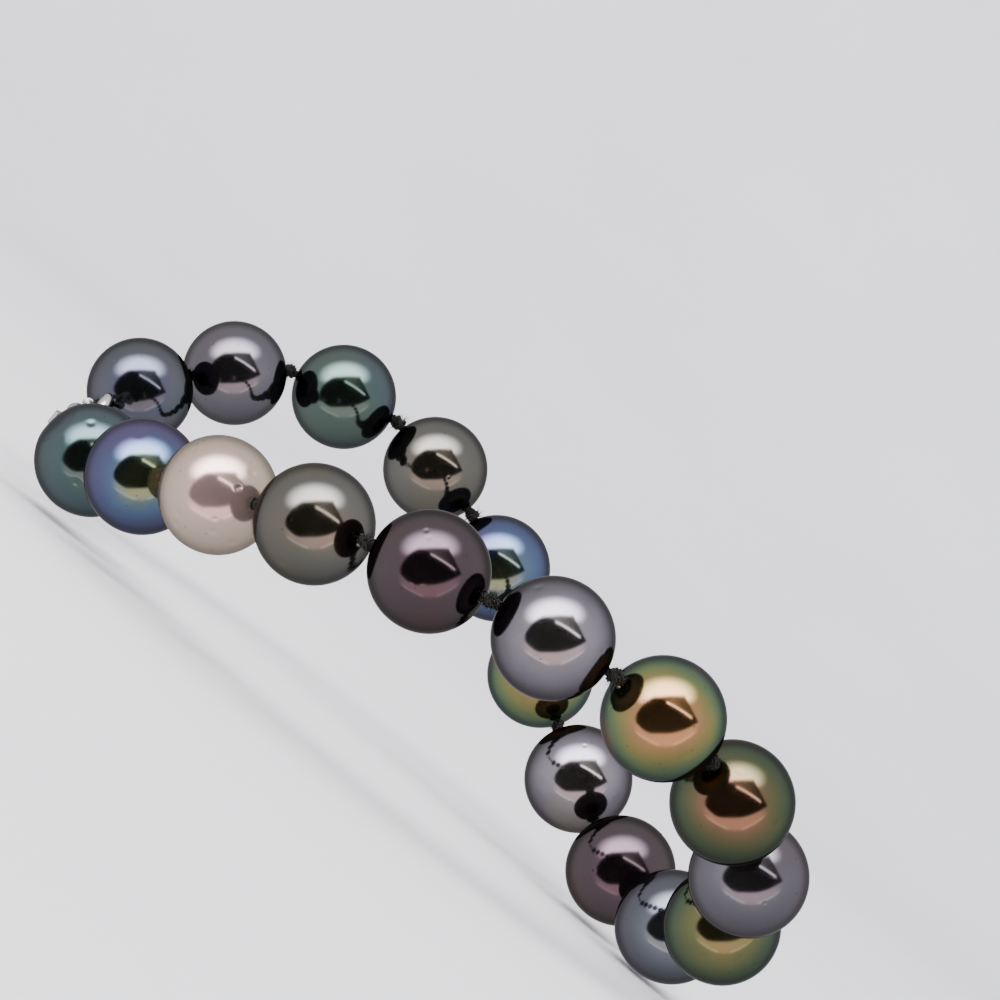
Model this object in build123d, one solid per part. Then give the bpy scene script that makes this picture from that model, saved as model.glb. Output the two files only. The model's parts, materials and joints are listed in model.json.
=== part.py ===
from build123d import *
from math import cos, pi, radians, sin
import os

# A strand bracelet of drilled pearls, knotted one by one on silk and closed by a lobster clasp.
# +Z runs along the wrist that the strand goes round, and the origin is the middle of the loop.
# The strand starts at the claw's end, runs anticlockwise seen from +Z, and ends at the catch ring.

# Pearls, silk and knots, in millimetres
PEARL_DIAMETERS = (
    8.4, 8.4, 8.4, 8.4, 8.4, 8.4, 8.6, 8.7, 8.6, 8.6,
    8.6, 8.5, 8.5, 8.5, 8.6, 8.5, 8.5, 8.4, 8.4,
)
KNOT_GAP = 1.3          # silk that shows between two pearls
DRILL_RADIUS = 0.45
THREAD_RADIUS = 0.36
KNOT_RADIUS = 0.70
KNOT_PLAY = 0.02        # between a knot and the cupped end of the next length of silk

# The worn loop: an oval, a little fuller at one end, that rises and falls as it goes round
LOOP_HALF_LENGTH = 35.0
LOOP_HALF_WIDTH = 25.0
LOOP_FULLNESS_X = -2.3
LOOP_FULLNESS_Y = 0.8
RISE_TWICE_COS = 3.4
RISE_TWICE_SIN = -6.4
RISE_THRICE_COS = 0.6
RISE_THRICE_SIN = 1.9
STRAND_START = radians(-130.5)

# End loops: the silk turns back through a tube of coiled wire
END_LOOP_RADIUS = 1.0
END_LOOP_OFFSET = 1.45  # knot centre to loop centre
END_THREAD_RADIUS = 0.22
GIMP_RADIUS = 0.38
GIMP_BORE_RADIUS = 0.26
GIMP_GAP_ANGLE = 110    # the part of the circle that the knot fills, degrees

# Lobster clasp
LINK_PLAY = 0.10
EYE_WIRE_RADIUS = 0.40
EYE_RADIUS = 1.15
HOOK_RADIUS = 1.55
HOOK_WIRE_RADIUS = 0.55
HOOK_START_ANGLE = -150
HOOK_TIP_ANGLE = 106
EYE_TO_HOOK = 6.63
BELLY_HALF_THICKNESS = 1.15
BELLY_EDGE_RADIUS = 0.75
NECK_RADIUS = 0.80
NECK_PAST_EYE = 1.15
BELLY_RADIUS = 2.10
BELLY_TO_HOOK = 3.85
CHIN_RADIUS = 0.82
CHIN_TO_HOOK = 0.80
CHIN_DROP = 1.28
MOUTH_TO_HOOK = 1.95
MOUTH_BOTTOM = -0.80
SLOT_LENGTH = 3.30
SLOT_BOTTOM = -0.92
SLOT_BEHIND_PIVOT = 1.0
NUB_SLOT_BEHIND_PIVOT = 1.6
NUB_SLOT_BOTTOM = 1.0
LEVER_HALF_THICKNESS = 0.55
SLOT_CLEARANCE = 0.06
LEVER_ARM_RADIUS = 0.30
LEVER_ARM_LENGTH = 3.20
LEVER_ARM_DROP = 0.30
LEVER_HUB_RADIUS = 0.72
LEVER_NUB_RADIUS = 0.45
LEVER_NUB_REACH = 1.00
LEVER_NUB_RISE = 1.40
PIVOT_TO_HOOK = 3.95
PIVOT_RISE = 0.90
PIN_RADIUS = 0.30
PIN_HALF_LENGTH = 1.02
PIN_RUNNING_CLEARANCE = 0.05
SPRING_RADIUS = 0.48
SPRING_WIRE_RADIUS = 0.08
SPRING_PITCH = 0.20
SPRING_TURNS = 2
RING_RADIUS = 1.8
RING_WIRE_RADIUS = 0.40

FULL_TURN = 2 * pi
UP = Vector(0, 0, 1)
BISECTION_STEPS = 50


def loop_point(angle):
    """A point of the line that the knots lie on."""
    x = LOOP_HALF_LENGTH * cos(angle) + LOOP_FULLNESS_X * cos(2 * angle)
    y = LOOP_HALF_WIDTH * sin(angle) + LOOP_FULLNESS_Y * sin(2 * angle)
    twice = RISE_TWICE_COS * cos(2 * angle) + RISE_TWICE_SIN * sin(2 * angle)
    thrice = RISE_THRICE_COS * cos(3 * angle) + RISE_THRICE_SIN * sin(3 * angle)
    return Vector(x, y, twice + thrice)


def angle_after(angle, chord):
    """The angle at which the loop is one chord's length further on."""
    start = loop_point(angle)
    low, high = angle, angle + FULL_TURN / 8
    for _ in range(BISECTION_STEPS):
        middle = (low + high) / 2
        if (loop_point(middle) - start).length < chord:
            low = middle
        else:
            high = middle
    return low


def lay_knots():
    """Knot centres, one before each pearl and one after the last."""
    angle = STRAND_START
    knots = [loop_point(angle)]
    for diameter in PEARL_DIAMETERS:
        angle = angle_after(angle, diameter + KNOT_GAP)
        knots.append(loop_point(angle))
    return knots


KNOTS = lay_knots()
PEARL_COUNT = len(PEARL_DIAMETERS)
CLASP_SPAN = (KNOTS[0] - KNOTS[-1]).length


def along_strand(number):
    """The frame of a pearl's stretch of strand: Z from the knot before it to the knot after it."""
    start = KNOTS[number - 1]
    way = (KNOTS[number] - start).normalized()
    return Plane(origin=start, x_dir=UP.cross(way), z_dir=way).location


def clasp_plane():
    """The clasp's frame: X from the first knot to the last, Y away from the wrist."""
    way = (KNOTS[-1] - KNOTS[0]).normalized()
    level = UP.cross(way)
    return Plane(origin=KNOTS[0], x_dir=way, z_dir=way.cross(level))


# Places along the clasp's X
EYE_NEAR_WIRE = END_LOOP_OFFSET + END_LOOP_RADIUS - GIMP_RADIUS - EYE_WIRE_RADIUS - LINK_PLAY
EYE_CENTRE = EYE_NEAR_WIRE + EYE_RADIUS
HOOK_CENTRE = EYE_CENTRE + EYE_TO_HOOK
CLAW_PIVOT = END_LOOP_OFFSET + END_LOOP_RADIUS
RING_PIVOT = CLASP_SPAN - END_LOOP_OFFSET - END_LOOP_RADIUS + GIMP_RADIUS + RING_WIRE_RADIUS + LINK_PLAY
RING_CENTRE = RING_PIVOT - RING_RADIUS
BELLY_ROUNDS = (
    ((EYE_CENTRE + NECK_PAST_EYE, 0.0), NECK_RADIUS),
    ((HOOK_CENTRE - BELLY_TO_HOOK, 0.0), BELLY_RADIUS),
    ((HOOK_CENTRE - CHIN_TO_HOOK, -CHIN_DROP), CHIN_RADIUS),
)
LEVER_PIVOT = (HOOK_CENTRE - PIVOT_TO_HOOK, PIVOT_RISE)
LEVER_END = (LEVER_PIVOT[0] + LEVER_ARM_LENGTH, PIVOT_RISE - LEVER_ARM_DROP)
LEVER_NUB = (LEVER_PIVOT[0] - LEVER_NUB_REACH, PIVOT_RISE + LEVER_NUB_RISE)
MOUTH_BACK = HOOK_CENTRE - MOUTH_TO_HOOK
SLOT_BACK = LEVER_PIVOT[0] - SLOT_BEHIND_PIVOT
NUB_SLOT_BACK = LEVER_PIVOT[0] - NUB_SLOT_BEHIND_PIVOT



def make_pearl(diameter):
    middle = (diameter + KNOT_GAP) / 2
    pearl = Sphere(diameter / 2) - Cylinder(DRILL_RADIUS, diameter + KNOT_GAP)
    return Pos(0, 0, middle) * pearl


def make_strand_silk(diameter, ends_in_knot):
    """The silk through one pearl, cupped round the knot before it."""
    length = diameter + KNOT_GAP
    thread = Pos(0, 0, length / 2) * Cylinder(THREAD_RADIUS, length)
    cup = Sphere(KNOT_RADIUS + KNOT_PLAY)
    silk = thread - cup
    if ends_in_knot:
        return silk + Pos(0, 0, length) * Sphere(KNOT_RADIUS)
    return silk - Pos(0, 0, length) * cup


def make_end_silk():
    """The knot beside the clasp and the turned-back loop of silk, in the XZ plane along +X."""
    loop = Pos(END_LOOP_OFFSET, 0, 0) * Rot(90, 0, 0) * Torus(END_LOOP_RADIUS, END_THREAD_RADIUS)
    return Rot(90, 0, 0) * Sphere(KNOT_RADIUS) + loop


def make_gimp():
    """The coiled wire tube round the end loop, open where the knot is."""
    bend = CenterArc((0, 0), END_LOOP_RADIUS, GIMP_GAP_ANGLE / 2 - 180, 360 - GIMP_GAP_ANGLE)
    start = Plane(origin=bend @ 0, z_dir=bend % 0)
    wall = start * (Circle(GIMP_RADIUS) - Circle(GIMP_BORE_RADIUS))
    tube = sweep(wall, path=bend)
    return Pos(END_LOOP_OFFSET, 0, 0) * Rot(90, 0, 0) * tube


def rounded_bar(start, end, start_radius, end_radius, low, high):
    """A flat bar with round ends in the XY plane, between two heights."""
    ends = Pos(*start) * Circle(start_radius) + Pos(*end) * Circle(end_radius)
    return Pos(0, 0, low) * extrude(make_hull(ends.edges()), high - low)


def make_belly():
    """The pebble-shaped middle of the claw, before it is hollowed."""
    rounds = Sketch() + [Pos(*centre) * Circle(radius) for centre, radius in BELLY_ROUNDS]
    pebble = extrude(make_hull(rounds.edges()), BELLY_HALF_THICKNESS, both=True)
    return fillet(pebble.edges().filter_by(GeomType.LINE, reverse=True), BELLY_EDGE_RADIUS)


def make_hook():
    bend = CenterArc((0, 0), HOOK_RADIUS, HOOK_START_ANGLE, HOOK_TIP_ANGLE - HOOK_START_ANGLE)
    start = Plane(origin=bend @ 0, z_dir=bend % 0)
    bar = sweep(start * Circle(HOOK_WIRE_RADIUS), path=bend)
    tip = Pos(*tuple(bend @ 1)) * Sphere(HOOK_WIRE_RADIUS)
    return Pos(HOOK_CENTRE, 0, 0) * (bar + tip)


def make_claw_body():
    """The eye, the hollow belly that holds the lever, and the hook."""
    through = 4 * BELLY_HALF_THICKNESS
    from_corner = (Align.MIN, Align.MIN, Align.CENTER)
    hole = Pos(HOOK_CENTRE, 0, 0) * Cylinder(HOOK_RADIUS - HOOK_WIRE_RADIUS, through)
    mouth = Box(HOOK_CENTRE - MOUTH_BACK, through, through, align=from_corner)
    slot_width = 2 * (LEVER_HALF_THICKNESS + SLOT_CLEARANCE)
    slot = Box(SLOT_LENGTH, through, slot_width, align=from_corner)
    slots = Pos(SLOT_BACK, SLOT_BOTTOM, 0) * slot + Pos(NUB_SLOT_BACK, NUB_SLOT_BOTTOM, 0) * slot
    eye = Pos(EYE_CENTRE, 0, 0) * Torus(EYE_RADIUS, EYE_WIRE_RADIUS)
    eye_hole = Pos(EYE_CENTRE, 0, 0) * Cylinder(EYE_RADIUS, through)
    belly = make_belly() - hole - Pos(MOUTH_BACK, MOUTH_BOTTOM, 0) * mouth - eye_hole
    belly += make_hook()
    belly -= slots
    belly -= Pos(*LEVER_PIVOT) * Cylinder(PIN_RADIUS, through)
    return belly + eye


def make_claw_lever():
    low, high = -LEVER_HALF_THICKNESS, LEVER_HALF_THICKNESS
    arm = rounded_bar(LEVER_PIVOT, LEVER_END, LEVER_HUB_RADIUS, LEVER_ARM_RADIUS, low, high)
    nub = rounded_bar(LEVER_PIVOT, LEVER_NUB, LEVER_HUB_RADIUS, LEVER_NUB_RADIUS, low, high)
    lever = arm + nub
    bore = Cylinder(PIN_RADIUS + PIN_RUNNING_CLEARANCE, 4 * LEVER_HALF_THICKNESS)
    lever -= Pos(*LEVER_PIVOT) * bore
    spring_seat = Cylinder(LEVER_HUB_RADIUS, high, align=(Align.CENTER, Align.CENTER, Align.MIN))
    return lever - Pos(*LEVER_PIVOT) * spring_seat


def make_lever_pin():
    return Pos(*LEVER_PIVOT) * Cylinder(PIN_RADIUS, 2 * PIN_HALF_LENGTH)


def make_lever_spring():
    """The small torsion coil round the pin, in the seat beside the lever's hub."""
    coil = Helix(pitch=SPRING_PITCH, height=SPRING_PITCH * SPRING_TURNS, radius=SPRING_RADIUS)
    start = Plane(origin=coil @ 0, z_dir=coil % 0)
    wire = sweep(start * Circle(SPRING_WIRE_RADIUS), path=coil)
    return Pos(*LEVER_PIVOT, SPRING_WIRE_RADIUS + SLOT_CLEARANCE / 2) * wire


def make_catch_ring():
    return Pos(RING_CENTRE, 0, 0) * Rot(90, 0, 0) * Torus(RING_RADIUS, RING_WIRE_RADIUS)


def strand_nodes():
    nodes = {}
    for number, diameter in enumerate(PEARL_DIAMETERS, start=1):
        place = along_strand(number)
        nodes[f"pearl_{number:02d}"] = place * make_pearl(diameter)
        nodes[f"silk_{number:02d}"] = place * make_strand_silk(diameter, number < PEARL_COUNT)
    return nodes


def clasp_nodes():
    place = clasp_plane().location
    far_end = place * Pos(CLASP_SPAN, 0, 0) * Rot(0, 0, 180) * Rot(90, 0, 0)
    return {
        "silk_claw_end": place * make_end_silk(),
        "gimp_claw_end": place * make_gimp(),
        "claw_body": place * make_claw_body(),
        "claw_lever": place * make_claw_lever(),
        "lever_pin": place * make_lever_pin(),
        "lever_spring": place * make_lever_spring(),
        "catch_ring": place * make_catch_ring(),
        "silk_ring_end": far_end * make_end_silk(),
        "gimp_ring_end": far_end * make_gimp(),
    }


def main():
    os.makedirs("parts", exist_ok=True)
    nodes = strand_nodes() | clasp_nodes()
    for name, shape in nodes.items():
        export_step(shape, f"parts/{name}.step")
    strand_length = sum(PEARL_DIAMETERS) + KNOT_GAP * PEARL_COUNT
    print(f"clasp span {CLASP_SPAN:.2f} mm, strand {strand_length:.1f} mm")


main()
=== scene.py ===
import json
import math
import random

import bpy
from mathutils import Matrix, Vector, noise


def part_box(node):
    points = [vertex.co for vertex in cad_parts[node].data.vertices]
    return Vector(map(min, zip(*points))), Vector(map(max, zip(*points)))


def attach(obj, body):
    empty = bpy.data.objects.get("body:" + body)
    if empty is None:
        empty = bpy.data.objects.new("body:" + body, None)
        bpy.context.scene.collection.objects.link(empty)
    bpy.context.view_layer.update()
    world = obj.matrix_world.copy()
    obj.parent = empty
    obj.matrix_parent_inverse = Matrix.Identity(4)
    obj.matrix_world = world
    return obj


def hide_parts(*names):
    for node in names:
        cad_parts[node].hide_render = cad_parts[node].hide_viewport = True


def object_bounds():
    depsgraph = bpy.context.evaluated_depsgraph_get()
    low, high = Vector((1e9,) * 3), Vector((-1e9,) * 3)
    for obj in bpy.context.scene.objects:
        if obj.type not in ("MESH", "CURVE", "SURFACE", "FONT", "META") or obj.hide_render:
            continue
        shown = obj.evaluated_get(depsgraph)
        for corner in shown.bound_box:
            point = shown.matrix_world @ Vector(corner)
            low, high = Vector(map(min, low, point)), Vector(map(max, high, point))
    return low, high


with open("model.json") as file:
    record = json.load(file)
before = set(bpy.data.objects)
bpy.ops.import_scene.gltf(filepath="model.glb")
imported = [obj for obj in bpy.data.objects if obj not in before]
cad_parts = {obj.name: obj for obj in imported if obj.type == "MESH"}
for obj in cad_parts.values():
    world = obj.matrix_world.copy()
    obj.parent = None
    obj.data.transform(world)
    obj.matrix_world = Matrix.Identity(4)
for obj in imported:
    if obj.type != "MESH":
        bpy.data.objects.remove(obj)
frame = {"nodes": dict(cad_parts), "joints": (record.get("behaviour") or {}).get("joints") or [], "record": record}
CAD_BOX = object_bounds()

# A knotted strand bracelet of dark pearls. Everything is in metres, in the CAD's frame: +Z along the wrist.

MM = 0.001
UP = Vector((0, 0, 1))
RECORD = frame["record"]
JOINTS = {joint["name"]: joint for joint in frame["joints"]}
PEARLS = sorted(name for name in frame["nodes"] if name.startswith("pearl_"))
SLOTS = {part["node"]: part["material_slot"] for part in RECORD["subparts"]}

# The camera stands level with the loop, rolled so that the wrist leans as the display hand's does
CAMERA_AIM = Vector((-1.2, -1.0, 9.6)) * MM
CAMERA_AZIMUTH = math.radians(-45.53)
CAMERA_RISE = math.radians(0.4)
CAMERA_DISTANCE = 306 * MM
CAMERA_ROLL = math.radians(38.34)
CAMERA_LENS = 149.3
SENSOR = 36.0
NEAREST_SEEN = 1 * MM
FURTHEST_SEEN = 20


# ---------------------------------------------------------------- camera, floor, light

def camera_axes():
    """The camera's right, up and back directions."""
    level = math.cos(CAMERA_RISE)
    back = Vector((
        math.cos(CAMERA_AZIMUTH) * level,
        math.sin(CAMERA_AZIMUTH) * level,
        math.sin(CAMERA_RISE),
    ))
    level_up = (UP - back * back.z).normalized()
    level_right = level_up.cross(back)
    up = level_up * math.cos(CAMERA_ROLL) - level_right * math.sin(CAMERA_ROLL)
    return up.cross(back), up, back


RIGHT, TOP, BACK = camera_axes()


def add_camera():
    data = bpy.data.cameras.new("camera")
    data.lens = CAMERA_LENS
    data.sensor_width = SENSOR
    data.clip_start = NEAREST_SEEN
    data.clip_end = FURTHEST_SEEN
    camera = bpy.data.objects.new("camera", data)
    matrix = Matrix((RIGHT, TOP, BACK)).transposed().to_4x4()
    matrix.translation = CAMERA_AIM + BACK * CAMERA_DISTANCE
    camera.matrix_world = matrix
    bpy.context.collection.objects.link(camera)
    bpy.context.scene.camera = camera


COVE_FLAT = 0.55
COVE_BEND = 0.5
COVE_WALL = 0.9
COVE_SIDES = 96
COVE_BEND_STEPS = 16
COVE_MIDDLE = 0.02
FLOOR_GAP = 0.1 * MM


def cove_profile():
    """Reach and height of the cove from its middle outwards."""
    low = CAD_BOX[0].z - FLOOR_GAP
    profile = [(COVE_MIDDLE, low), (COVE_FLAT, low)]
    for step in range(1, COVE_BEND_STEPS + 1):
        angle = math.pi / 2 * step / COVE_BEND_STEPS
        reach = COVE_FLAT + COVE_BEND * math.sin(angle)
        profile.append((reach, low + COVE_BEND * (1 - math.cos(angle))))
    profile.append((COVE_FLAT + COVE_BEND, low + COVE_BEND + COVE_WALL))
    return profile


def add_floor():
    """A pale round studio floor just under the lowest pearl, curving up into a plain wall."""
    profile = cove_profile()
    points = []
    for reach, height in profile:
        for side in range(COVE_SIDES):
            angle = 2 * math.pi * side / COVE_SIDES
            points.append((reach * math.cos(angle), reach * math.sin(angle), height))
    faces = ring_faces(len(profile), COVE_SIDES)
    faces.append(tuple(reversed(range(COVE_SIDES))))
    floor = mesh_piece("floor", points, faces, floor_material())
    floor.visible_glossy = False
    floor.visible_shadow = False


KEY_SIZE = 0.30
KEY_POWER = 2.6
FILL_SIZE = 0.5
FILL_POWER = 0.8
LIGHT_DISTANCE = 0.5


def add_area(name, toward, size, power):
    data = bpy.data.lights.new(name, "AREA")
    data.shape = "DISK"
    data.size = size
    data.energy = power
    light = bpy.data.objects.new(name, data)
    light.location = toward.normalized() * LIGHT_DISTANCE
    light.rotation_euler = toward.to_track_quat("Z", "Y").to_euler()
    light.visible_glossy = False
    light.visible_camera = False
    bpy.context.collection.objects.link(light)


def add_lights():
    add_area("key_light", TOP * 0.9 + BACK * 0.45, KEY_SIZE, KEY_POWER)
    add_area("fill_light", RIGHT * 0.8 + BACK * 0.3 + UP * 0.6, FILL_SIZE, FILL_POWER)


# ---------------------------------------------------------------- node helpers

class Graph:
    """A small helper that adds nodes and links them by name."""

    def __init__(self, tree):
        self.tree = tree

    def give(self, socket, value):
        """Link a socket, or set a plain value or colour."""
        if isinstance(value, bpy.types.NodeSocket):
            self.tree.links.new(value, socket)
        else:
            socket.default_value = value

    def add(self, kind, **inputs):
        node = self.tree.nodes.new(kind)
        for key, value in inputs.items():
            self.feed(node, key.replace("_", " "), value)
        return node

    def feed(self, node, socket, value):
        self.give(node.inputs[socket], value)

    def math(self, operation, first, second=0.0, third=0.0):
        node = self.tree.nodes.new("ShaderNodeMath")
        node.operation = operation
        for socket, value in zip(node.inputs, (first, second, third)):
            self.give(socket, value)
        return node.outputs[0]

    def times(self, *factors):
        product = factors[0]
        for factor in factors[1:]:
            product = self.math("MULTIPLY", product, factor)
        return product

    def size(self, value):
        return self.math("ABSOLUTE", value)

    def dot(self, vector, direction):
        node = self.tree.nodes.new("ShaderNodeVectorMath")
        node.operation = "DOT_PRODUCT"
        self.tree.links.new(vector, node.inputs[0])
        node.inputs[1].default_value = direction
        return node.outputs["Value"]

    def vector(self, operation, first, second=(0, 0, 0)):
        node = self.tree.nodes.new("ShaderNodeVectorMath")
        node.operation = operation
        for socket, value in zip(node.inputs, (first, second)):
            self.give(socket, value)
        return node.outputs["Vector"]

    def step(self, value, start, end):
        """0 before start, 1 after end, smooth between; start may be above end."""
        node = self.tree.nodes.new("ShaderNodeMapRange")
        node.interpolation_type = "SMOOTHSTEP"
        self.tree.links.new(value, node.inputs["Value"])
        low, high = (0.0, 1.0) if start < end else (1.0, 0.0)
        node.inputs["From Min"].default_value = min(start, end)
        node.inputs["From Max"].default_value = max(start, end)
        node.inputs["To Min"].default_value = low
        node.inputs["To Max"].default_value = high
        return node.outputs["Result"]

    def ramp(self, value, stops):
        node = self.tree.nodes.new("ShaderNodeValToRGB")
        node.color_ramp.interpolation = "B_SPLINE" if len(stops) > 3 else "EASE"
        elements = node.color_ramp.elements
        while len(elements) < len(stops):
            elements.new(0.5)
        for element, (place, colour) in zip(elements, stops):
            element.position = place
            element.color = (*colour, 1)
        self.tree.links.new(value, node.inputs["Fac"])
        return node.outputs["Color"]

    def mix(self, factor, first, second):
        node = self.tree.nodes.new("ShaderNodeMix")
        node.data_type = "RGBA"
        self.give(node.inputs["Factor"], factor)
        for socket, value in ((node.inputs[6], first), (node.inputs[7], second)):
            self.give(socket, (*value, 1) if isinstance(value, tuple) else value)
        return node.outputs[2]


def new_material(name):
    material = bpy.data.materials.new(name)
    material.use_nodes = True
    material.node_tree.nodes.clear()
    graph = Graph(material.node_tree)
    output = graph.add("ShaderNodeOutputMaterial")
    shader = graph.add("ShaderNodeBsdfPrincipled")
    material.node_tree.links.new(shader.outputs[0], output.inputs["Surface"])
    return material, graph, shader


# ---------------------------------------------------------------- the room that the pearls mirror

# Places are on a mirror ball seen from the camera: x across and y up, each from -1 to 1. Pairs are where an
# edge starts to fade in and where it is full. Lights are linear.
WALL_SHADES = [
    (0.0, (0.40, 0.40, 0.40)),
    (0.22, (0.80, 0.80, 0.80)),
    (0.5, (1.0, 1.0, 1.0)),
    (0.75, (1.2, 1.2, 1.2)),
    (1.0, (1.0, 1.0, 1.0)),
]
WALL_BEHIND = (0.66, 0.98)
WALL_BEHIND_LIGHT = (0.42, 0.41, 0.42)

SOFTBOX_X = 0.03
SOFTBOX_Y = 0.38
SOFTBOX_NARROWNESS = 1.9
SOFTBOX_FLATNESS = 3.1
SOFTBOX_EDGE = (1.02, 0.42)
SOFTBOX_FOOT = (0.20, 0.34)
SOFTBOX_LIGHT = (9.5, 9.5, 10.0)

OPENING_TOP = 0.385
OPENING_BOTTOM = -0.215
SHOULDER_X = -0.12
SHOULDER_DROP = 2.7
SLOPE_X = 0.32
SLOPE_DROP = 2.0
LEFT_CORNER_X = -0.18
LEFT_CORNER_LIFT = 2.4
RIGHT_LIFT = 0.60
OPENING_LEFT_EDGE = (-0.485, -0.42)
OPENING_TOP_EDGE = (-0.03, 0.05)
OPENING_BOTTOM_EDGE = (-0.02, 0.04)
OPENING_LIGHT = (0.030, 0.032, 0.024)

RAIL_Y = 0.30
RAIL_SLOPE = -0.45
RAIL_BOW = -0.45
RAIL_EDGE = (0.026, 0.010)
RAIL_LEFT = (0.02, 0.05)
RAIL_RIGHT = (0.44, 0.40)
RAIL_LIGHT = (4.5, 4.5, 4.5)
ABOVE_RAIL_EDGE = (-0.01, 0.03)
ABOVE_RAIL_LEFT = (-0.12, 0.10)
ABOVE_RAIL_RIGHT = (0.52, 0.10)
ABOVE_RAIL_LIGHT = (0.50, 0.50, 0.42)

TABLE_X = 0.02
TABLE_Y = -0.41
TABLE_SLOPE = 0.20
TABLE_BOW = 0.62
TABLE_EDGE = (-0.03, 0.03)
TABLE_TOP_EDGE = (0.02, -0.02)
TABLE_SIDES = (0.54, 0.36)
TABLE_LIGHT = (1.60, 1.32, 1.30)
LIP_EDGE = (0.034, 0.0)
LIP_GAP = (0.06, 0.14)
LIP_SIDES = (0.50, 0.40)
LIP_LIGHT = (2.2, 2.0, 1.9)

SECOND_BOUNCE = (2.2, 2.8)
SECOND_BOUNCE_LIGHT = (0.22, 0.20, 0.20)
PLAIN_LIGHT = (2.60, 2.60, 2.72)


def ball_place(graph):
    """Where on the mirror ball a direction shows."""
    direction = graph.add("ShaderNodeTexCoord").outputs["Generated"]
    halfway = graph.vector("NORMALIZE", graph.vector("ADD", direction, tuple(BACK)))
    return graph.dot(halfway, tuple(RIGHT)), graph.dot(halfway, tuple(TOP))


def walls(graph, x, y):
    """Pale walls, darker low down and right behind."""
    shade = graph.ramp(graph.math("MULTIPLY_ADD", y, 0.5, 0.5), WALL_SHADES)
    squared = graph.math("ADD", graph.times(x, x), graph.times(y, y))
    return graph.mix(graph.step(squared, *WALL_BEHIND), shade, WALL_BEHIND_LIGHT)


def softbox(graph, room, x, y):
    """The oval softbox overhead."""
    across = graph.math("MULTIPLY", graph.math("SUBTRACT", x, SOFTBOX_X), SOFTBOX_NARROWNESS)
    over = graph.math("MULTIPLY", graph.math("SUBTRACT", y, SOFTBOX_Y), SOFTBOX_FLATNESS)
    squared = graph.math("ADD", graph.times(across, across), graph.times(over, over))
    spread = graph.math("SQRT", squared)
    glow = graph.times(graph.step(spread, *SOFTBOX_EDGE), graph.step(y, *SOFTBOX_FOOT))
    return graph.mix(glow, room, SOFTBOX_LIGHT)


def opening_share(graph, x, y):
    """The dark open front, domed at the left and slanting at the right, and the height above its foot."""
    shoulder = graph.math("MAXIMUM", graph.math("SUBTRACT", SHOULDER_X, x), 0.0)
    slope = graph.math("MAXIMUM", graph.math("SUBTRACT", x, SLOPE_X), 0.0)
    drop = graph.math("ADD", graph.times(shoulder, shoulder, SHOULDER_DROP), graph.times(slope, SLOPE_DROP))
    below_top = graph.math("SUBTRACT", graph.math("SUBTRACT", OPENING_TOP, drop), y)
    left = graph.math("MAXIMUM", graph.math("SUBTRACT", LEFT_CORNER_X, x), 0.0)
    right = graph.math("MAXIMUM", x, 0.0)
    lifted = graph.math("MULTIPLY_ADD", graph.times(left, left), LEFT_CORNER_LIFT, OPENING_BOTTOM)
    bottom = graph.math("MULTIPLY_ADD", graph.times(right, right), RIGHT_LIFT, lifted)
    above_bottom = graph.math("SUBTRACT", y, bottom)
    share = graph.times(
        graph.step(x, *OPENING_LEFT_EDGE),
        graph.step(below_top, *OPENING_TOP_EDGE),
        graph.step(above_bottom, *OPENING_BOTTOM_EDGE),
    )
    return share, above_bottom


def rail(graph, room, opening, x, y):
    """The lit rail across the opening, with a greyer stretch above it."""
    bowed = graph.math("MULTIPLY_ADD", graph.times(x, x), RAIL_BOW, RAIL_Y)
    over = graph.math("SUBTRACT", y, graph.math("MULTIPLY_ADD", x, RAIL_SLOPE, bowed))
    above = graph.times(
        opening,
        graph.step(over, *ABOVE_RAIL_EDGE),
        graph.step(x, *ABOVE_RAIL_LEFT),
        graph.step(x, *ABOVE_RAIL_RIGHT),
    )
    room = graph.mix(above, room, ABOVE_RAIL_LIGHT)
    line = graph.times(
        graph.step(graph.size(over), *RAIL_EDGE),
        graph.step(x, *RAIL_LEFT),
        graph.step(x, *RAIL_RIGHT),
    )
    return graph.mix(line, room, RAIL_LIGHT)


def table(graph, room, above_bottom, x, y):
    """The table top under the opening, with its bright front edge."""
    aside = graph.size(graph.math("SUBTRACT", x, TABLE_X))
    sloped = graph.math("MULTIPLY_ADD", aside, TABLE_SLOPE, TABLE_Y)
    brim = graph.math("MULTIPLY_ADD", graph.times(aside, aside), TABLE_BOW, sloped)
    above_brim = graph.math("SUBTRACT", y, brim)
    top = graph.times(
        graph.step(above_brim, *TABLE_EDGE),
        graph.step(above_bottom, *TABLE_TOP_EDGE),
        graph.step(aside, *TABLE_SIDES),
    )
    room = graph.mix(top, room, TABLE_LIGHT)
    lip = graph.times(
        graph.step(graph.size(above_brim), *LIP_EDGE),
        graph.step(aside, *LIP_GAP),
        graph.step(aside, *LIP_SIDES),
    )
    return graph.mix(lip, room, LIP_LIGHT)


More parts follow.
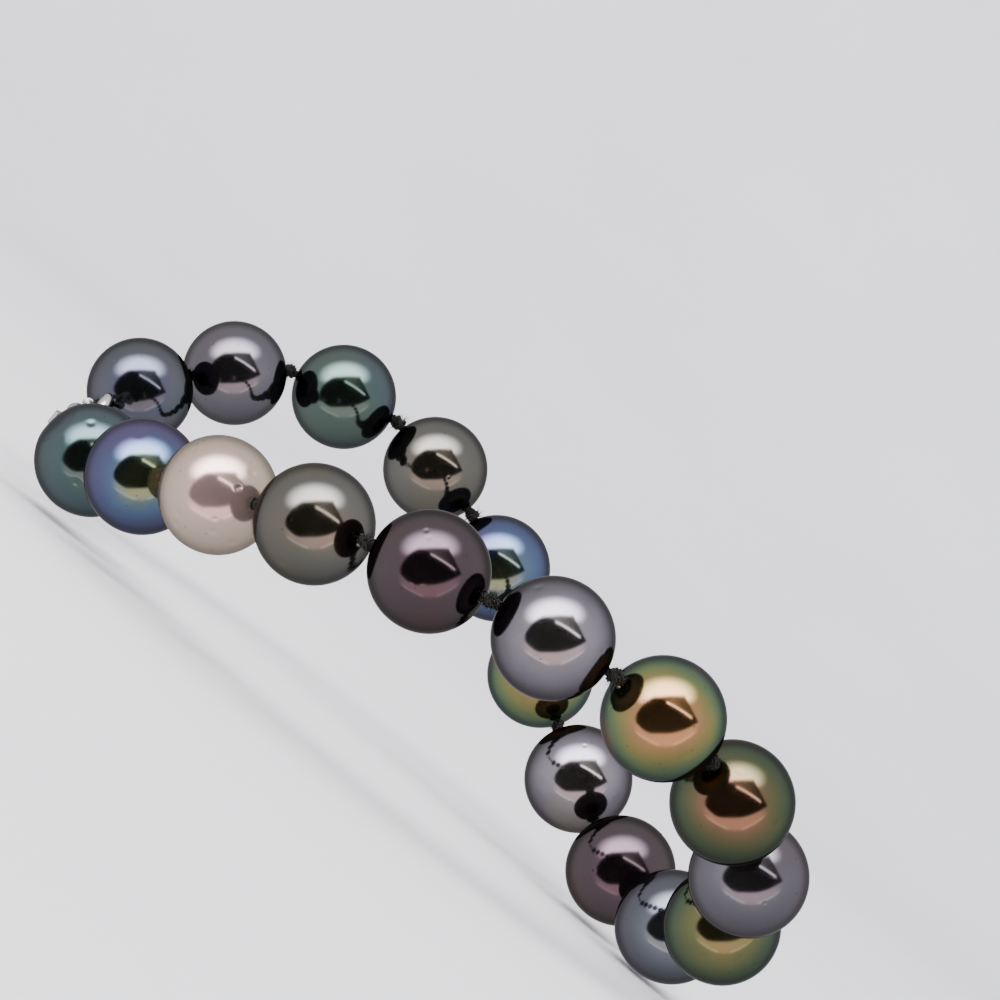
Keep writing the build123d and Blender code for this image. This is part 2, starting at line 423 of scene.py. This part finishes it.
def add_room():
    """The light tent that the pearls mirror. Only reflections see it, and other rays see a plain light."""
    world = bpy.data.worlds.new("room")
    bpy.context.scene.world = world
    world.use_nodes = True
    world.node_tree.nodes.clear()
    graph = Graph(world.node_tree)
    x, y = ball_place(graph)
    room = softbox(graph, walls(graph, x, y), x, y)
    opening, above_bottom = opening_share(graph, x, y)
    room = graph.mix(opening, room, OPENING_LIGHT)
    room = rail(graph, room, opening, x, y)
    room = table(graph, room, above_bottom, x, y)
    path = graph.add("ShaderNodeLightPath").outputs
    # a pearl's reflection in its neighbour is nearly black
    again = graph.step(path["Ray Depth"], *SECOND_BOUNCE)
    room = graph.mix(again, room, SECOND_BOUNCE_LIGHT)
    seen = graph.mix(path["Is Glossy Ray"], PLAIN_LIGHT, room)
    background = graph.add("ShaderNodeBackground", Color=seen, Strength=1.0)
    output = graph.add("ShaderNodeOutputWorld")
    world.node_tree.links.new(background.outputs[0], output.inputs["Surface"])


# ---------------------------------------------------------------- materials

FLOOR_SHADES = [(0.3, (0.76, 0.76, 0.775)), (0.7, (0.80, 0.80, 0.81))]


def floor_material():
    material, graph, shader = new_material("pale_floor")
    place = graph.add("ShaderNodeNewGeometry").outputs["Position"]
    cloud = graph.add("ShaderNodeTexNoise", Vector=place, Scale=9.0, Detail=2.0).outputs["Fac"]
    graph.feed(shader, "Base Color", graph.ramp(cloud, FLOOR_SHADES))
    shader.inputs["Roughness"].default_value = 0.55
    return material


# What each kind of nacre mirrors: colours facing the viewer, between, outwards and at the rim, then an
# overtone that lies over it in patches, and how strong the patches are
NACRES = {
    "nacre_teal": (
        (0.1, 0.14, 0.13), (0.08, 0.13, 0.14), (0.1, 0.135, 0.15), (0.08, 0.085, 0.11),
        (0.12, 0.17, 0.1), 0.35,
    ),
    "nacre_blue_violet": (
        (0.26, 0.29, 0.13), (0.1, 0.18, 0.32), (0.1, 0.115, 0.24), (0.085, 0.08, 0.12),
        (0.15, 0.11, 0.23), 0.55,
    ),
    "nacre_champagne": (
        (0.75, 0.5, 0.46), (0.62, 0.46, 0.4), (0.55, 0.43, 0.36), (0.42, 0.35, 0.28),
        (0.6, 0.52, 0.4), 0.4,
    ),
    "nacre_green_grey": (
        (0.26, 0.21, 0.17), (0.16, 0.155, 0.14), (0.15, 0.147, 0.14), (0.11, 0.11, 0.105),
        (0.19, 0.15, 0.1), 0.3,
    ),
    "nacre_aubergine": (
        (0.13, 0.085, 0.11), (0.09, 0.065, 0.08), (0.1, 0.078, 0.088), (0.075, 0.06, 0.06),
        (0.13, 0.07, 0.065), 0.45,
    ),
    "nacre_silver": (
        (0.38, 0.34, 0.35), (0.33, 0.3, 0.36), (0.17, 0.155, 0.19), (0.085, 0.075, 0.085),
        (0.3, 0.27, 0.21), 0.4,
    ),
    "nacre_peacock": (
        (0.5, 0.26, 0.13), (0.34, 0.25, 0.09), (0.14, 0.23, 0.1), (0.07, 0.09, 0.14),
        (0.4, 0.19, 0.15), 0.55,
    ),
    "nacre_dark_green": (
        (0.3, 0.15, 0.1), (0.15, 0.13, 0.065), (0.075, 0.11, 0.06), (0.06, 0.072, 0.072),
        (0.16, 0.09, 0.06), 0.4,
    ),
    "nacre_lavender": (
        (0.25, 0.23, 0.27), (0.17, 0.16, 0.19), (0.145, 0.14, 0.17), (0.15, 0.13, 0.15),
        (0.16, 0.12, 0.14), 0.4,
    ),
    "nacre_green_gold": (
        (0.26, 0.2, 0.09), (0.18, 0.18, 0.08), (0.08, 0.12, 0.07), (0.065, 0.08, 0.085),
        (0.07, 0.11, 0.16), 0.45,
    ),
    "nacre_slate": (
        (0.2, 0.21, 0.25), (0.14, 0.15, 0.19), (0.11, 0.115, 0.14), (0.09, 0.09, 0.11),
        (0.14, 0.11, 0.16), 0.4,
    ),
    "nacre_dark_grey": (
        (0.1, 0.11, 0.12), (0.12, 0.125, 0.2), (0.14, 0.135, 0.165), (0.09, 0.08, 0.095),
        (0.09, 0.13, 0.14), 0.4,
    ),
}
SPECK = (0.02, 0.02, 0.02)
MATERIALS = {}


def nacre_material(name, seed):
    """Nacre: a coloured mirror-like lustre whose hue shifts from the middle to the rim."""
    face, ring, outer, rim, overtone, share = NACRES[name]
    material, graph, shader = new_material(f"{name}_{seed}")
    place = graph.add("ShaderNodeTexCoord").outputs["Object"]
    place = graph.vector("ADD", place, (seed * 0.37, seed * 0.11, seed * 0.23))
    zones = graph.add("ShaderNodeTexNoise", Vector=place, Scale=150.0, Detail=1.5, Roughness=0.4)
    zones = zones.outputs["Fac"]
    facing = graph.add("ShaderNodeLayerWeight", Blend=0.5).outputs["Facing"]
    shift = graph.math("MULTIPLY_ADD", graph.math("SUBTRACT", zones, 0.5), 0.55, facing)
    lustre = graph.ramp(shift, [(0.0, face), (0.14, ring), (0.36, outer), (0.78, rim)])
    patches = graph.math("MULTIPLY", graph.step(zones, 0.50, 0.68), share)
    lustre = graph.mix(patches, lustre, overtone)
    cloud = graph.add("ShaderNodeTexNoise", Vector=place, Scale=700.0, Detail=3.0).outputs["Fac"]
    lustre = graph.mix(graph.math("MULTIPLY", graph.step(cloud, 0.50, 0.75), 0.12), lustre, rim)
    specks = graph.add("ShaderNodeTexVoronoi", Vector=place, Scale=1100.0).outputs["Distance"]
    lustre = graph.mix(graph.math("MULTIPLY", graph.step(specks, 0.10, 0.05), 0.45), lustre, SPECK)
    graph.feed(shader, "Base Color", lustre)
    shader.inputs["Metallic"].default_value = 0.93 if name == "nacre_champagne" else 1.0
    shader.inputs["Specular Tint"].default_value = (0.5, 0.5, 0.5, 1.0)
    grain = graph.add("ShaderNodeTexNoise", Vector=place, Scale=600.0, Detail=2.0).outputs["Fac"]
    softness = 0.10 if name == "nacre_champagne" else 0.07
    graph.feed(shader, "Roughness", graph.math("MULTIPLY_ADD", grain, 0.10, softness))
    shader.inputs["Coat Weight"].default_value = 0.10
    shader.inputs["Coat Roughness"].default_value = 0.03
    shader.inputs["Coat IOR"].default_value = 1.5
    ripple = graph.add("ShaderNodeTexNoise", Vector=place, Scale=330.0, Detail=1.0).outputs["Fac"]
    bump = graph.add("ShaderNodeBump", Height=ripple, Strength=0.05, Distance=0.02 * MM)
    graph.feed(shader, "Normal", bump.outputs["Normal"])
    return material


SILK_SHADES = [(0.35, (0.004, 0.004, 0.0035)), (0.75, (0.034, 0.031, 0.026))]


def silk_material():
    if "silk" in MATERIALS:
        return MATERIALS["silk"]
    material, graph, shader = new_material("charcoal_silk")
    place = graph.add("ShaderNodeTexCoord").outputs["Object"]
    fibre = graph.add("ShaderNodeTexNoise", Vector=place, Scale=9000.0, Detail=3.0).outputs["Fac"]
    graph.feed(shader, "Base Color", graph.ramp(fibre, SILK_SHADES))
    shader.inputs["Roughness"].default_value = 0.62
    shader.inputs["Specular IOR Level"].default_value = 0.15
    shader.inputs["Sheen Weight"].default_value = 0.02
    shader.inputs["Sheen Roughness"].default_value = 0.4
    bump = graph.add("ShaderNodeBump", Height=fibre, Strength=0.5, Distance=0.02 * MM)
    graph.feed(shader, "Normal", bump.outputs["Normal"])
    MATERIALS["silk"] = material
    return material


def metal_material(name, colour, roughness, scratch):
    if name in MATERIALS:
        return MATERIALS[name]
    material, graph, shader = new_material(name)
    place = graph.add("ShaderNodeTexCoord").outputs["Object"]
    tarnish = graph.add("ShaderNodeTexNoise", Vector=place, Scale=500.0, Detail=3.0).outputs["Fac"]
    darker = tuple(c * 0.82 for c in colour)
    graph.feed(shader, "Base Color", graph.ramp(tarnish, [(0.30, darker), (0.60, colour)]))
    shader.inputs["Metallic"].default_value = 1.0
    marks = graph.add("ShaderNodeTexNoise", Vector=place, Scale=2500.0, Detail=4.0).outputs["Fac"]
    graph.feed(shader, "Roughness", graph.math("MULTIPLY_ADD", marks, 0.16, roughness))
    bump = graph.add("ShaderNodeBump", Height=marks, Strength=scratch, Distance=0.01 * MM)
    graph.feed(shader, "Normal", bump.outputs["Normal"])
    MATERIALS[name] = material
    return material


# ---------------------------------------------------------------- mesh helpers

def mesh_piece(name, points, faces, material):
    mesh = bpy.data.meshes.new(name)
    mesh.from_pydata([tuple(p) for p in points], [], faces)
    mesh.update()
    mesh.materials.append(material)
    mesh.shade_smooth()
    piece = bpy.data.objects.new(name, mesh)
    bpy.context.collection.objects.link(piece)
    return piece


def ring_faces(rings, sides, closed=False):
    faces = []
    last = rings if closed else rings - 1
    for ring in range(last):
        here, there = ring * sides, (ring + 1) % rings * sides
        for side in range(sides):
            after = (side + 1) % sides
            faces.append((here + side, here + after, there + after, there + side))
    return faces


def walk(path, closed=False):
    """Each point of a path, with its direction and a normal carried along without twist."""
    count = len(path)
    normal = None
    for index, centre in enumerate(path):
        before = path[index - 1] if index or closed else centre
        after = path[(index + 1) % count] if index + 1 < count or closed else centre
        along = (after - before).normalized()
        if normal is None:
            normal = along.orthogonal().normalized()
        normal = (normal - along * normal.dot(along)).normalized()
        yield index, centre, along, normal


TAPER = 0.9


def tube(path, radius, sides, closed=False, taper=False):
    """Points and faces of a round tube along a path."""
    count = len(path)
    points = []
    for index, centre, along, normal in walk(path, closed):
        side_way = along.cross(normal)
        size = radius * (1 - index / count * TAPER) if taper else radius
        for side in range(sides):
            angle = 2 * math.pi * side / sides
            points.append(centre + (normal * math.cos(angle) + side_way * math.sin(angle)) * size)
    faces = ring_faces(count, sides, closed)
    if not closed:
        faces.append(tuple(reversed(range(sides))))
        faces.append(tuple(range((count - 1) * sides, count * sides)))
    return points, faces


def join(parts):
    """One set of points and faces out of several."""
    points, faces = [], []
    for part_points, part_faces in parts:
        start = len(points)
        points += part_points
        faces += [tuple(start + index for index in face) for face in part_faces]
    return points, faces


def frame_along(origin, along):
    """A matrix whose Z runs along a direction."""
    z = along.normalized()
    x = UP.cross(z).normalized()
    matrix = Matrix((x, z.cross(x), z)).transposed().to_4x4()
    matrix.translation = origin
    return matrix


# ---------------------------------------------------------------- pearls

LATITUDES = 150
LONGITUDES = 260
DRILL_RADIUS = 0.45 * MM
OUT_OF_ROUND = 0.004
MARK_REACH = 0.9        # cosine of the angle past which a mark is too far away to matter
# How many small random pits a pearl has, their spread in radians and their depth
PITS = {"pearl_01": 12, "pearl_03": 34, "pearl_05": 14, "pearl_06": 5}
USUAL_PITS = 8
PIT_SPREAD = (0.025, 0.045)
PIT_DEPTH = (0.010 * MM, 0.028 * MM)
# Marks that stand out: across and up on the side that faces the camera, in radii, then the spread in radians
# and the depth in millimetres
MARKS = {
    "pearl_01": [
        (-0.62, 0.7, 0.34, 0.16), (0.07, 0.64, 0.07, 0.07),
        (-0.52, 0.32, 0.09, 0.06), (-0.18, -0.4, 0.08, 0.05),
    ],
    "pearl_02": [
        (0.0, 0.72, 0.1, 0.03), (-0.35, -0.62, 0.06, 0.02),
    ],
    "pearl_03": [
        (0.62, 0.36, 0.07, 0.05), (0.74, 0.22, 0.06, 0.05),
        (0.4, 0.12, 0.06, 0.05), (-0.62, -0.3, 0.07, 0.05),
        (-0.66, -0.46, 0.06, 0.04), (-0.02, -0.6, 0.07, 0.05),
        (0.28, -0.78, 0.06, 0.04),
    ],
    "pearl_04": [
        (-0.52, -0.6, 0.06, 0.03),
    ],
    "pearl_05": [
        (-0.03, 0.66, 0.045, 0.025), (0.48, 0.64, 0.05, 0.025),
        (-0.27, -0.21, 0.035, 0.01), (-0.08, -0.23, 0.035, 0.01),
    ],
    "pearl_06": [
        (-0.24, 0.82, 0.07, 0.04),
    ],
    "pearl_07": [
        (0.34, -0.52, 0.07, 0.02),
    ],
    "pearl_08": [
        (0.66, -0.28, 0.08, 0.03), (0.07, 0.53, 0.05, 0.02),
    ],
}


def marks_of(name, dice, turned):
    """Directions in the drill's frame, radii in radians and depths in metres of a pearl's pits."""
    marks = []
    for across, up, spread, depth in MARKS.get(name, []):
        toward = math.sqrt(max(0.0, 1 - across * across - up * up))
        way = turned @ (RIGHT * across + TOP * up + BACK * toward)
        marks.append((way.normalized(), spread, depth * MM))
    for _ in range(PITS.get(name, USUAL_PITS)):
        way = Vector((dice.gauss(0, 1), dice.gauss(0, 1), dice.gauss(0, 1))).normalized()
        marks.append((way, dice.uniform(*PIT_SPREAD), dice.uniform(*PIT_DEPTH)))
    return marks


def pearl_points(radius, marks, dice):
    """A near-round shell in the drill's frame, dented where it is pitted."""
    lopsided = Vector((dice.uniform(-1, 1), dice.uniform(-1, 1), dice.uniform(-1, 1))) * 3
    opening = math.asin(DRILL_RADIUS / radius)
    points = []
    for row in range(LATITUDES):
        polar = opening + (math.pi - 2 * opening) * row / (LATITUDES - 1)
        for column in range(LONGITUDES):
            turn = 2 * math.pi * column / LONGITUDES
            level = math.sin(polar)
            way = Vector((level * math.cos(turn), level * math.sin(turn), math.cos(polar)))
            size = radius - OUT_OF_ROUND * radius * (0.5 + 0.5 * noise.noise(way * 1.3 + lopsided))
            for place, spread, depth in marks:
                near = way.dot(place)
                if near > MARK_REACH:
                    size -= depth * math.exp(-2 * (1 - near) / (spread * spread))
            points.append(way * size)
    return points


def add_pearl(name, seed):
    joint = JOINTS[f"{name}_turn"]
    low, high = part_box(name)
    radius = max(high - low) / 2
    dice = random.Random(seed)
    place = frame_along(Vector(joint["pos_m"]), Vector(joint["axis"]))
    points = pearl_points(radius, marks_of(name, dice, place.to_3x3().transposed()), dice)
    faces = [tuple(reversed(face)) for face in ring_faces(LATITUDES, LONGITUDES)]
    # the drill hole's wall joins the last ring to the first
    last = (LATITUDES - 1) * LONGITUDES
    for column in range(LONGITUDES):
        after = (column + 1) % LONGITUDES
        faces.append((last + after, last + column, column, after))
    material = nacre_material(SLOTS[name], seed)
    pearl = mesh_piece(f"{name}_nacre", [place @ p for p in points], faces, material)
    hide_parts(name)
    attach(pearl, name)


# ---------------------------------------------------------------- silk

KNOT_RADIUS = 0.68 * MM
PLY_RADIUS = 0.09 * MM
PLY_SIDES = 7
THREAD_RADIUS = 0.33 * MM
FIBRE_RADIUS = 0.016 * MM


def plies(path, spread, count, turns):
    """Twisted plies wound round a path."""
    last = len(path) - 1
    strands = []
    for ply in range(count):
        line = []
        for index, centre, along, normal in walk(path):
            angle = 2 * math.pi * (turns * index / last + ply / count)
            offset = normal * math.cos(angle) + along.cross(normal) * math.sin(angle)
            line.append(centre + offset * spread)
        strands.append(tube(line, PLY_RADIUS, PLY_SIDES))
    return strands


# The knot's path in shares of its radius
KNOT_STEPS = 90
KNOT_SIZE = 0.80
KNOT_WIDTH = 0.56
KNOT_LOBES = 0.26
KNOT_LENGTH = 0.62
KNOT_PLY_SPREAD = 0.115 * MM
KNOT_PLIES = 3
KNOT_TWIST = 9
CORE_LENGTH = 1.0602
CORE_STEPS = 9
CORE_SPREAD = 0.16 * MM
CORE_PLIES = 4
CORE_TWIST = 1.5
FIBRE_COUNT = 70
FIBRE_REACH = 0.60 * MM
FIBRE_STEPS = 6
FIBRE_ROOT = 0.75
FIBRE_BEND = 0.35


def knot_path(dice):
    """A tight overhand knot round the strand's line."""
    points = []
    squeeze = dice.uniform(0.9, 1.1)
    tilt = dice.uniform(0, 2 * math.pi)
    for index in range(KNOT_STEPS):
        t = 2 * math.pi * index / KNOT_STEPS
        wide = KNOT_WIDTH + KNOT_LOBES * math.cos(3 * t)
        x = wide * math.cos(2 * t + tilt)
        y = wide * math.sin(2 * t + tilt)
        z = KNOT_LENGTH * math.sin(3 * t) * squeeze
        points.append(Vector((x, y, z)) * KNOT_SIZE * KNOT_RADIUS)
    return points


def fibres(dice):
    """Fine stray fibres that stand out of a knot."""
    hairs = []
    for _ in range(FIBRE_COUNT):
        way = Vector((dice.gauss(0, 1), dice.gauss(0, 1), dice.gauss(0, 0.55))).normalized()
        bend = Vector((dice.gauss(0, 1), dice.gauss(0, 1), dice.gauss(0, 1))) * FIBRE_BEND
        length = dice.uniform(0.35, 1.0) * FIBRE_REACH
        line = []
        for step in range(FIBRE_STEPS + 1):
            along = step / FIBRE_STEPS
            straight = way * (FIBRE_ROOT * KNOT_RADIUS + along * length)
            line.append(straight + bend * along * along * length)
        hairs.append(tube(line, FIBRE_RADIUS, 3, taper=True))
    return hairs


def knot_parts(dice):
    parts = plies(knot_path(dice), KNOT_PLY_SPREAD, KNOT_PLIES, KNOT_TWIST)
    heights = [CORE_LENGTH * KNOT_RADIUS * step / CORE_STEPS for step in range(-CORE_STEPS, CORE_STEPS + 1)]
    core = [Vector((0, 0, height)) for height in heights]
    return parts + plies(core, CORE_SPREAD, CORE_PLIES, CORE_TWIST) + fibres(dice)


# The silk inside a pearl starts and ends a little short of the knots' middles
SILK_STEPS = 60
SILK_START = 0.05
SILK_SHARE = 0.92
SILK_PLIES = 5
SILK_TWIST = 7


def placed(part, matrix):
    points, faces = part
    return [matrix @ p for p in points], faces


def add_strand_silk(number):
    """The silk through one pearl and the knot after it."""
    node = f"silk_{number:02d}"
    joint = JOINTS[f"pearl_{number:02d}_turn"]
    middle, along = Vector(joint["pos_m"]), Vector(joint["axis"])
    start = middle * 2 - knot_centre(number)
    dice = random.Random(1000 + number)
    length = (knot_centre(number) - start).length
    shares = [SILK_START + SILK_SHARE * index / SILK_STEPS for index in range(SILK_STEPS + 1)]
    line = [Vector((0, 0, length * share)) for share in shares]
    parts = plies(line, THREAD_RADIUS - PLY_RADIUS, SILK_PLIES, SILK_TWIST)
    if number < len(PEARLS):
        parts += [placed(part, Matrix.Translation((0, 0, length))) for part in knot_parts(dice)]
    frame_here = frame_along(start, along)
    points, faces = join([placed(part, frame_here) for part in parts])
    silk = mesh_piece(f"{node}_knotted", points, faces, silk_material())
    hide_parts(node)
    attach(silk, f"strand_{number:02d}")


def knot_centre(number):
    return Vector(JOINTS[f"knot_{number:02d}_flex"]["pos_m"])


# ---------------------------------------------------------------- end loops

GIMP_COIL_RADIUS = 0.30 * MM
GIMP_WIRE_RADIUS = 0.075 * MM
END_LOOP_RADIUS = 1.0 * MM
END_LOOP_OFFSET = 1.45 * MM
GIMP_ARC = math.radians(250)
GIMP_TURNS = 30
GIMP_STEPS_A_TURN = 12
GIMP_SIDES = 6
END_LOOP_STEPS = 60
END_THREAD_RADIUS = 0.2 * MM
END_THREAD_SIDES = 8


def end_frame(knot, toward, flat_way):
    """X from the knot towards the clasp, and the loop in the XZ plane."""
    x = (toward - knot).normalized()
    z = (flat_way - x * x.dot(flat_way)).normalized()
    matrix = Matrix((x, z.cross(x), z)).transposed().to_4x4()
    matrix.translation = knot
    return matrix


def round_loop(sweep, reach, aside=0.0):
    """A point on an end loop, at an angle from the clasp's side."""
    return Vector((END_LOOP_OFFSET + reach * math.cos(sweep), aside, reach * math.sin(sweep)))


def add_gimp(end, place):
    """The French wire: a fine coil bent round the end loop."""
    coil = []
    steps = GIMP_TURNS * GIMP_STEPS_A_TURN
    for index in range(steps + 1):
        sweep = GIMP_ARC * (index / steps - 0.5)
        wind = 2 * math.pi * GIMP_TURNS * index / steps
        reach = END_LOOP_RADIUS + GIMP_COIL_RADIUS * math.cos(wind)
        coil.append(place @ round_loop(sweep, reach, GIMP_COIL_RADIUS * math.sin(wind)))
    points, faces = tube(coil, GIMP_WIRE_RADIUS, GIMP_SIDES)
    material = metal_material("french_wire", (0.80, 0.80, 0.80), 0.18, 0.2)
    gimp = mesh_piece(f"gimp_{end}_coil", points, faces, material)
    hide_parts(f"gimp_{end}_end")
    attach(gimp, f"{end}_loop")


def add_end_silk(end, place, dice):
    """The silk inside the French wire, with the knot beside it."""
    loop = []
    for index in range(END_LOOP_STEPS):
        loop.append(round_loop(2 * math.pi * index / END_LOOP_STEPS, END_LOOP_RADIUS))
    parts = [tube(loop, END_THREAD_RADIUS, END_THREAD_SIDES, closed=True)]
    upright = Matrix.Rotation(math.pi / 2, 4, "Y")
    parts += [placed(part, upright) for part in knot_parts(dice)]
    points, faces = join([placed(part, place) for part in parts])
    silk = mesh_piece(f"silk_{end}_loop", points, faces, silk_material())
    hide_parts(f"silk_{end}_end")
    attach(silk, f"{end}_loop")


def add_end_loop(end, knot, toward, flat_way, seed):
    place = end_frame(knot, toward, flat_way)
    add_gimp(end, place)
    add_end_silk(end, place, random.Random(seed))


# ---------------------------------------------------------------- clasp

def add_clasp():
    silver = metal_material("polished_silver", (0.86, 0.85, 0.84), 0.08, 0.15)
    steel = metal_material("spring_steel", (0.55, 0.55, 0.57), 0.25, 0.2)
    for name in ("claw_body", "claw_lever", "lever_pin", "catch_ring"):
        node = frame["nodes"][name]
        node.data.materials.clear()
        node.data.materials.append(silver)
    spring = frame["nodes"]["lever_spring"]
    spring.data.materials.clear()
    spring.data.materials.append(steel)


def main():
    add_camera()
    add_room()
    add_floor()
    add_lights()
    for seed, name in enumerate(PEARLS, start=1):
        add_pearl(name, seed)
    for number in range(1, len(PEARLS) + 1):
        add_strand_silk(number)
    first, last = knot_centre(0), knot_centre(len(PEARLS))
    across = UP.cross(last - first)
    add_end_loop("claw", first, last, UP, 501)
    add_end_loop("ring", last, first, across, 502)
    add_clasp()


main()
